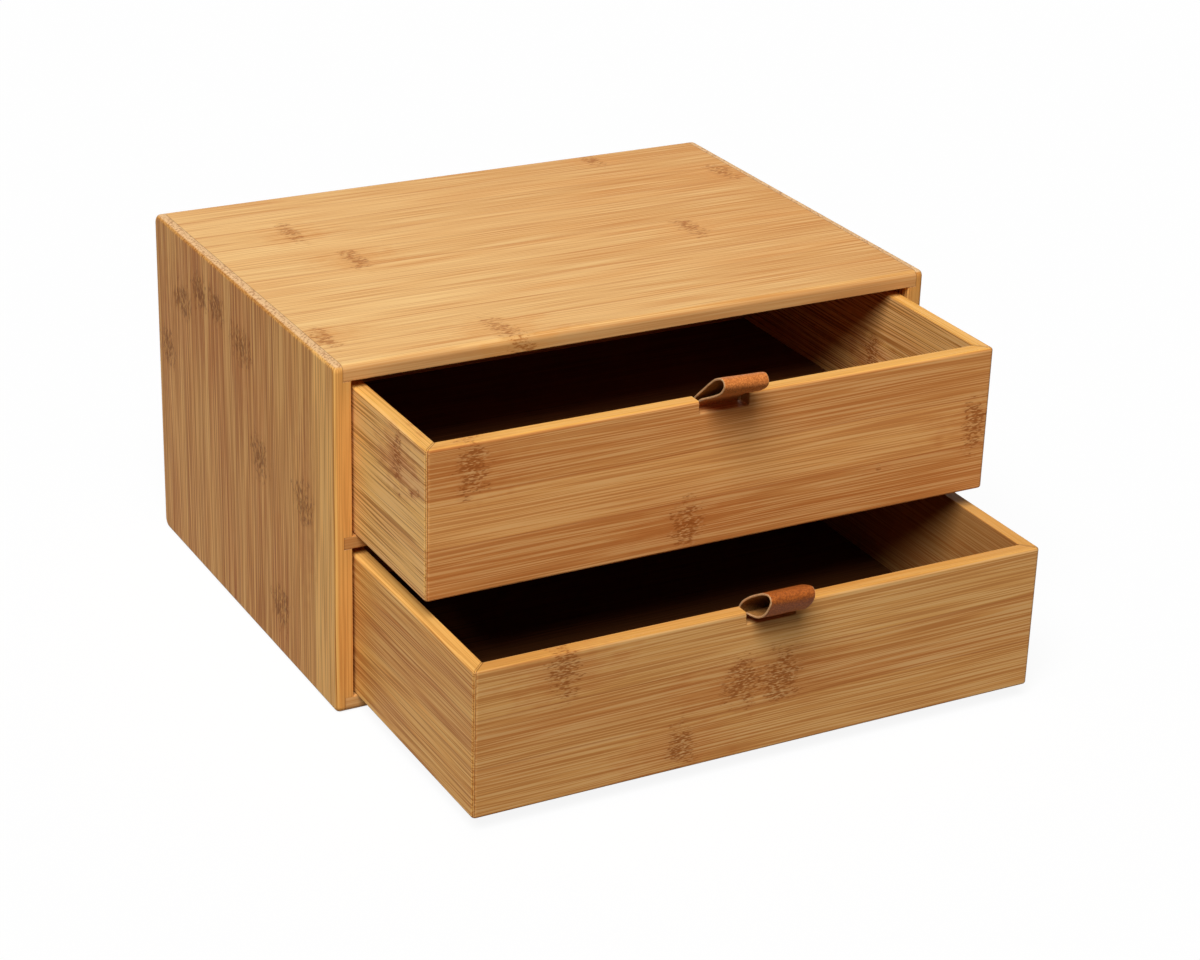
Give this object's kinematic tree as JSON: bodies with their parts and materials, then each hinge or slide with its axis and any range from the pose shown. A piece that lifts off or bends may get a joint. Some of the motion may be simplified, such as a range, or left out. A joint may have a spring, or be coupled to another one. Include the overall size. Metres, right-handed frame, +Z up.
{
  "type": "drawer box",
  "caption": "Small bamboo chest with a shelf, stacked sliding drawers and folded leather strap pulls, for tea bags and other small things.",
  "frame": {"origin": "middle of the case's footprint, on the surface it stands on", "axes": "+X to the right seen from the front, +Y to the back, +Z up; the drawers open towards -Y"},
  "size_m": [0.3, 0.3566, 0.1711],
  "materials": {
    "case_bamboo": "clear satin lacquer over side-pressed bamboo",
    "back_board": "clear satin lacquer over thin bamboo board",
    "drawer_bamboo": "clear satin lacquer over side-pressed bamboo",
    "drawer_board": "thin bamboo board, lightly sealed",
    "pull_leather": "tan leather with pale raw edges",
    "screw_metal": "plated steel"
  },
  "bodies": {
    "case": {"left_side": "case_bamboo", "right_side": "case_bamboo", "top_panel": "case_bamboo", "bottom_panel": "case_bamboo", "divider_shelf": "case_bamboo", "back_panel": "back_board"},
    "upper_drawer": {"upper_drawer_front": "drawer_bamboo", "upper_drawer_back": "drawer_bamboo", "upper_drawer_left_side": "drawer_bamboo", "upper_drawer_right_side": "drawer_bamboo", "upper_drawer_bottom": "drawer_board", "upper_pull_loop": "pull_leather", "upper_pull_screws": "screw_metal"},
    "lower_drawer": {"lower_drawer_front": "drawer_bamboo", "lower_drawer_back": "drawer_bamboo", "lower_drawer_left_side": "drawer_bamboo", "lower_drawer_right_side": "drawer_bamboo", "lower_drawer_bottom": "drawer_board", "lower_pull_loop": "pull_leather", "lower_pull_screws": "screw_metal"}
  },
  "joints": [
    {"name": "upper_drawer_slide", "type": "slide", "parent": "case", "child": "upper_drawer", "axis": [0, -1, 0], "range_m": [-0.072, 0.088]},
    {"name": "lower_drawer_slide", "type": "slide", "parent": "case", "child": "lower_drawer", "axis": [0, -1, 0], "range_m": [-0.119, 0.041]}
  ]
}
